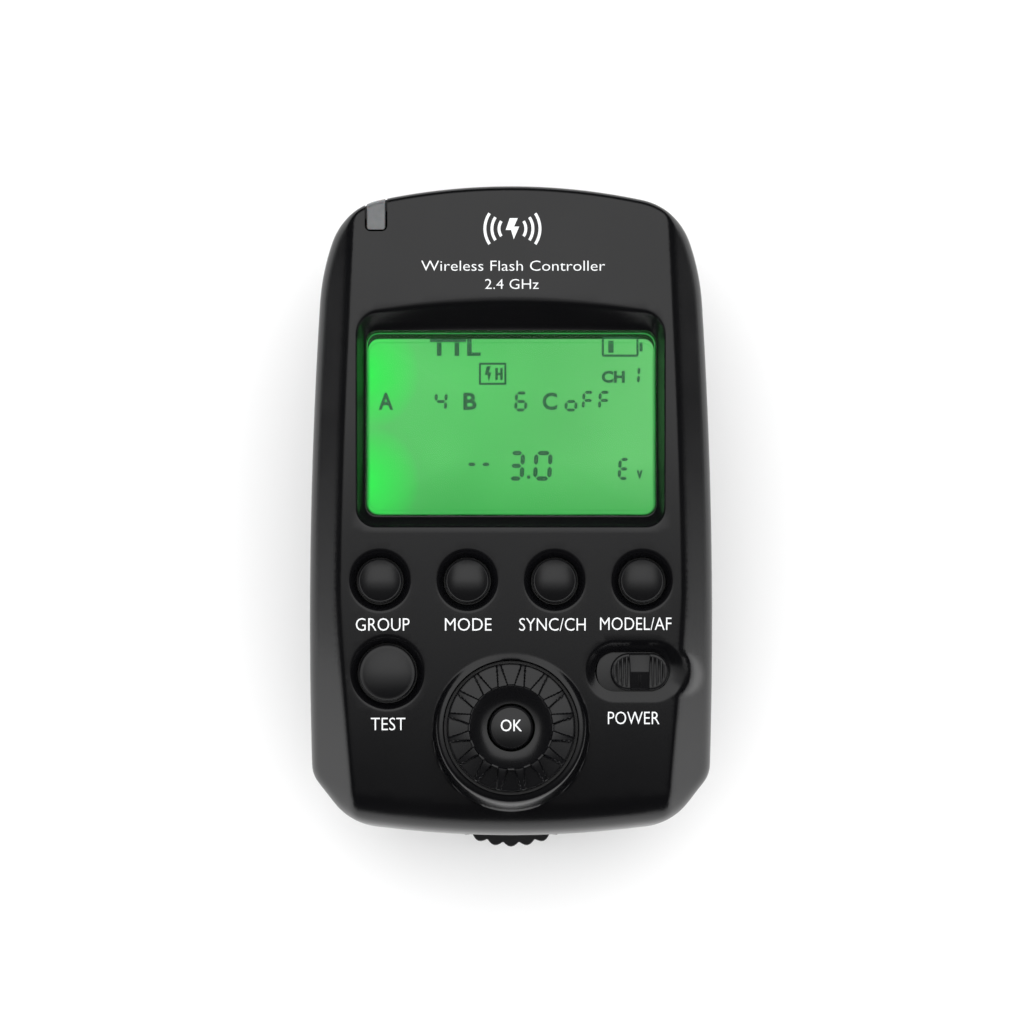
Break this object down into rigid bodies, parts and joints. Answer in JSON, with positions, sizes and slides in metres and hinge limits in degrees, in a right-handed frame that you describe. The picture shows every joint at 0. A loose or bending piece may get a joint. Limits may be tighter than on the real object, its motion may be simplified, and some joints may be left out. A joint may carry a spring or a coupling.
{
  "type": "wireless flash trigger",
  "caption": "Hand-sized black radio controller for studio flash: arched case with a lit display, keys, rotary dial and power slider, on a shoe foot with a lock ring.",
  "frame": {"origin": "centre of the shoe foot's underside, on the lock ring's axis", "axes": "+Z out through the case towards the display, +Y towards the head end of the case, which faces the subject when the foot is in a camera's shoe, +X to the right as the display is read"},
  "size_m": [0.057, 0.0931, 0.0417],
  "materials": {
    "case_plastic": "matte, finely moulded",
    "key_plastic": "satin",
    "dial_plastic": "satin",
    "ring_plastic": "satin",
    "socket_plastic": "satin",
    "switch_plastic": "matte",
    "white_plastic": "matte",
    "clear_lens": "polished",
    "status_diffuser": "polished",
    "red_filter": "polished",
    "lcd_panel": "polished",
    "light_guide": "gloss",
    "led_package": "gloss",
    "silicone": "matte",
    "circuit_board": "satin",
    "radio_board": "satin",
    "chip_package": "matte",
    "ribbon_film": "gloss",
    "wire_jacket": "satin",
    "cell_jacket": "gloss jacket",
    "plated_steel": "nickel plated",
    "black_steel": "black oxide",
    "gilt_brass": "gold plated",
    "shoe_metal": "satin, plated"
  },
  "bodies": {
    "case": {"front_case": "case_plastic", "rear_case": "case_plastic", "display_lens": "clear_lens", "status_lens": "status_diffuser", "af_window": "red_filter", "tact_switches": "switch_plastic", "encoder_base": "circuit_board", "power_switch": "plated_steel", "lcd_glass": "lcd_panel", "lcd_frame": "white_plastic", "light_guide": "light_guide", "backlight_leds": "led_package", "zebra_strip": "silicone", "main_board": "circuit_board", "control_chips": "chip_package", "radio_module": "radio_board", "radio_shield": "plated_steel", "antenna": "gilt_brass", "status_led": "led_package", "af_led": "red_filter", "sync_socket": "socket_plastic", "battery_left": "cell_jacket", "battery_right": "cell_jacket", "battery_springs": "plated_steel", "battery_plates": "plated_steel", "battery_wires": "wire_jacket", "shoe_foot": "shoe_metal", "contact_block": "socket_plastic", "contact_springs": "plated_steel", "contact_board": "circuit_board", "ribbon_cable": "ribbon_film", "case_screws": "black_steel", "board_screws": "plated_steel", "shoe_screws": "plated_steel"},
    "group_key": {"group_button": "key_plastic", "group_plunger": "switch_plastic"},
    "mode_key": {"mode_button": "key_plastic", "mode_plunger": "switch_plastic"},
    "sync_key": {"sync_button": "key_plastic", "sync_plunger": "switch_plastic"},
    "model_key": {"model_button": "key_plastic", "model_plunger": "switch_plastic"},
    "test_key": {"test_button": "key_plastic", "test_plunger": "switch_plastic"},
    "ok_key": {"ok_button": "key_plastic", "ok_plunger": "switch_plastic"},
    "dial": {"select_dial": "dial_plastic", "dial_retainer": "plated_steel", "encoder_rotor": "gilt_brass"},
    "power": {"power_slider": "key_plastic", "power_lever": "plated_steel"},
    "door": {"battery_door": "case_plastic"},
    "lock_carrier": {"lock_washer": "shoe_metal", "lock_pin": "plated_steel"},
    "lock_wheel": {"lock_ring": "ring_plastic"},
    "contacts": {"centre_contact": "gilt_brass", "data_contacts": "gilt_brass"}
  },
  "joints": [
    {"name": "group_press", "type": "slide", "parent": "case", "child": "group_key", "axis": [0, 0, -1], "range_m": [0, 0.0005], "stiffness_N_per_m": 300, "springref_m": -0.001},
    {"name": "mode_press", "type": "slide", "parent": "case", "child": "mode_key", "axis": [0, 0, -1], "range_m": [0, 0.0005], "stiffness_N_per_m": 300, "springref_m": -0.001},
    {"name": "sync_press", "type": "slide", "parent": "case", "child": "sync_key", "axis": [0, 0, -1], "range_m": [0, 0.0005], "stiffness_N_per_m": 300, "springref_m": -0.001},
    {"name": "model_press", "type": "slide", "parent": "case", "child": "model_key", "axis": [0, 0, -1], "range_m": [0, 0.0005], "stiffness_N_per_m": 300, "springref_m": -0.001},
    {"name": "test_press", "type": "slide", "parent": "case", "child": "test_key", "axis": [0, 0, -1], "range_m": [0, 0.0005], "stiffness_N_per_m": 300, "springref_m": -0.001},
    {"name": "ok_press", "type": "slide", "parent": "case", "child": "ok_key", "axis": [0, 0, -1], "range_m": [0, 0.0005], "stiffness_N_per_m": 300, "springref_m": -0.001},
    {"name": "dial_turn", "type": "hinge", "parent": "case", "child": "dial", "pos_m": [0, 0.00285, 0.035], "axis": [0, 0, 1], "continuous": true},
    {"name": "power_slide", "type": "slide", "parent": "case", "child": "power", "axis": [1, 0, 0], "range_m": [-0.0021, 0]},
    {"name": "door_slide", "type": "slide", "parent": "case", "child": "door", "axis": [0, 1, 0], "range_m": [0, 0.062]},
    {"name": "lock_travel", "type": "slide", "parent": "case", "child": "lock_carrier", "axis": [0, 0, -1], "range_m": [0, 0.002]},
    {"name": "lock_turn", "type": "hinge", "parent": "lock_carrier", "child": "lock_wheel", "pos_m": [0, 0, 0.009], "axis": [0, 0, 1], "range_deg": [0, 480]},
    {"name": "contact_press", "type": "slide", "parent": "case", "child": "contacts", "axis": [0, 0, 1], "range_m": [0, 0.0007], "stiffness_N_per_m": 300, "springref_m": -0.001, "deforming": ["contact_springs"]}
  ],
  "couplings": [
    {"joint": "lock_turn", "follows": "lock_travel", "rad_per_m": 4188.8}
  ]
}
